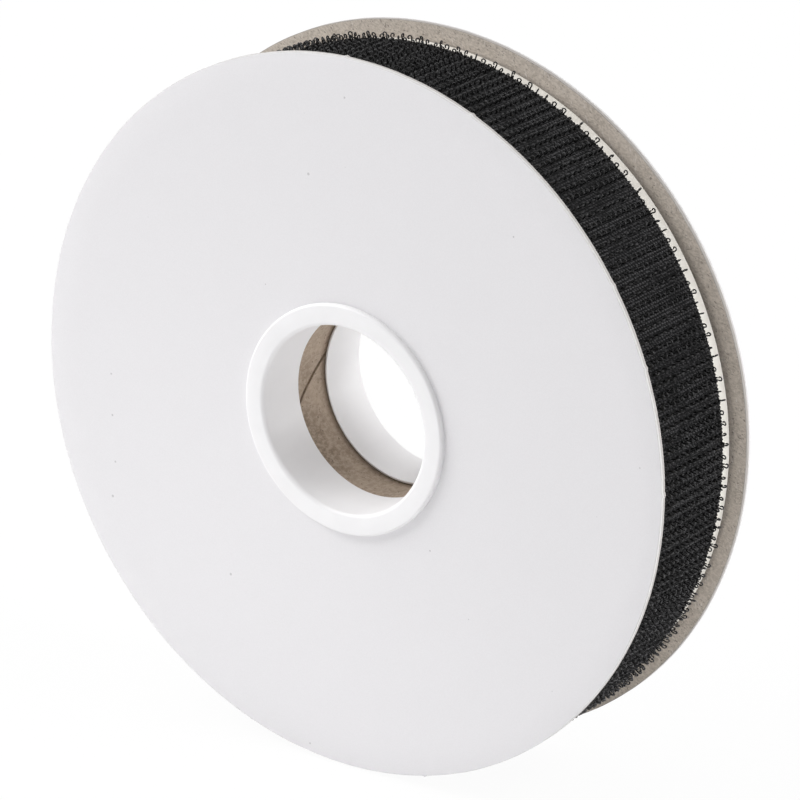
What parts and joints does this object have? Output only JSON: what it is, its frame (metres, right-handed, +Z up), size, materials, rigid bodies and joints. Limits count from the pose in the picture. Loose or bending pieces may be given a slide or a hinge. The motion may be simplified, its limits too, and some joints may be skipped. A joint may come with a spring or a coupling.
{
  "type": "hook tape roll",
  "caption": "Reel of self-adhesive hook tape wound on its release liner between two board flanges, on a paper core with moulded hub bushes and an open spindle bore.",
  "frame": {"origin": "on the reel's axis, midway between the flanges", "axes": "+Y along the reel's axis from the front flange to the rear one, +Z up as the reel stands on its flange edges, +X to the right seen from the front"},
  "size_m": [0.1402, 0.0312, 0.14],
  "materials": {
    "flange_board": "matt grey-brown recycled chipboard with fibre flecks",
    "flange_facing": "matt white lining paper",
    "bush_plastic": "satin white moulded plastic",
    "core_paper": "brown kraft paper, spiral wound",
    "hook_tape": "black woven nylon with stiff hooks",
    "release_liner": "cream siliconised paper"
  },
  "bodies": {
    "reel": {"front_flange": "flange_board", "front_facing": "flange_facing", "rear_flange": "flange_board", "rear_facing": "flange_facing", "front_bush": "bush_plastic", "rear_bush": "bush_plastic", "core_tube": "core_paper", "core_inner_ply": "core_paper", "inner_turns": "hook_tape", "hook_tape": "hook_tape", "release_liner": "release_liner"},
    "free_end": {"tape_end": "hook_tape", "liner_end": "release_liner"}
  },
  "joints": [
    {"name": "tape_end_lift", "type": "hinge", "parent": "reel", "child": "free_end", "pos_m": [-0.06777, 0, 0.01195], "axis": [0, -1, 0], "range_deg": [0, 60]}
  ]
}
